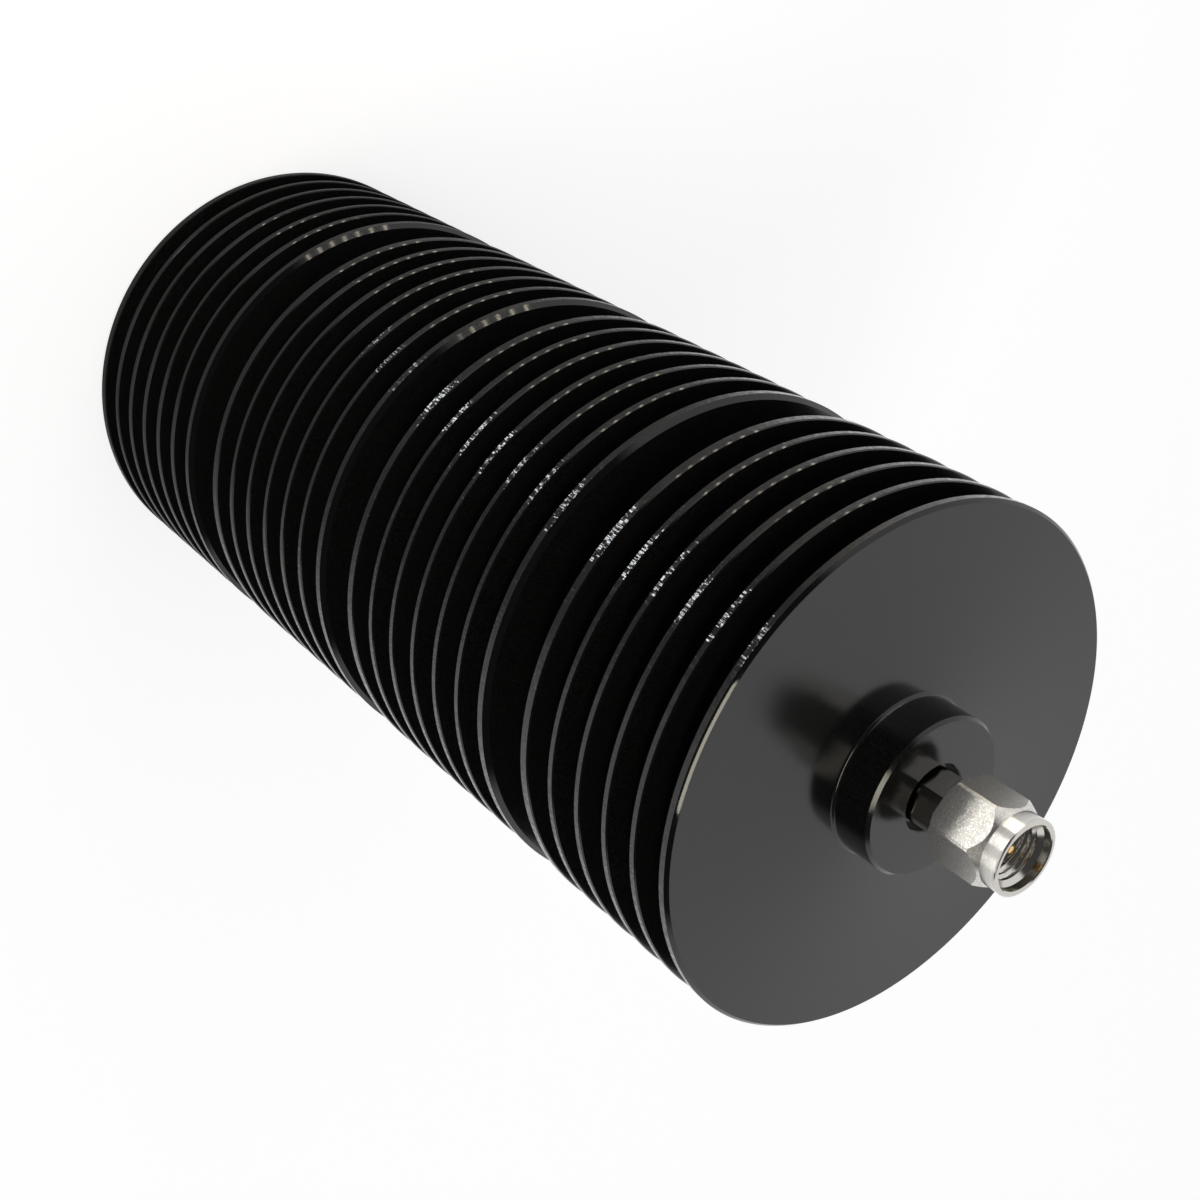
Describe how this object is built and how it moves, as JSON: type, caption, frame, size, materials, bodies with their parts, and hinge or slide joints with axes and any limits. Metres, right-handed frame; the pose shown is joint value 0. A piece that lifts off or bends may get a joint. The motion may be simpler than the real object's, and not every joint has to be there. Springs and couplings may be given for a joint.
{
  "type": "rf dummy load",
  "caption": "Cylindrical finned RF dummy load: black anodised fin sections on a core, with a small coaxial plug and free-turning hexagon coupling nut on the front boss.",
  "frame": {"origin": "centre of the rear face, on the axis", "axes": "+Z along the axis from the rear face to the plug; -Y is the side the picture shows"},
  "size_m": [0.055, 0.055, 0.1356],
  "materials": {
    "black_anodise": "satin black anodised",
    "bare_aluminium": "turned",
    "film_ceramic": "resistive film on ceramic",
    "silver_plate": "silver plated",
    "spring_bronze": "spring bronze",
    "stainless_steel": "passivated, blasted flats and turned rounds",
    "ptfe": "white PTFE",
    "gold_plate": "gold plated",
    "silicone": "moulded silicone"
  },
  "bodies": {
    "load": {"rear_fin_section": "black_anodise", "rear_middle_fin_section": "black_anodise", "front_middle_fin_section": "black_anodise", "front_fin_section": "black_anodise", "core": "bare_aluminium", "resistor_rod": "film_ceramic", "resistor_front_cap": "silver_plate", "resistor_rear_cap": "silver_plate", "ground_collet": "spring_bronze", "connector_body": "stainless_steel", "connector_insulator": "ptfe", "centre_pin": "gold_plate", "retaining_ring": "spring_bronze", "nut_gasket": "silicone"},
    "nut": {"coupling_nut": "stainless_steel"}
  },
  "joints": [
    {"name": "coupling_nut_spin", "type": "hinge", "parent": "load", "child": "nut", "pos_m": [0, 0, 0.1278], "axis": [0, 0, 1], "continuous": true}
  ]
}
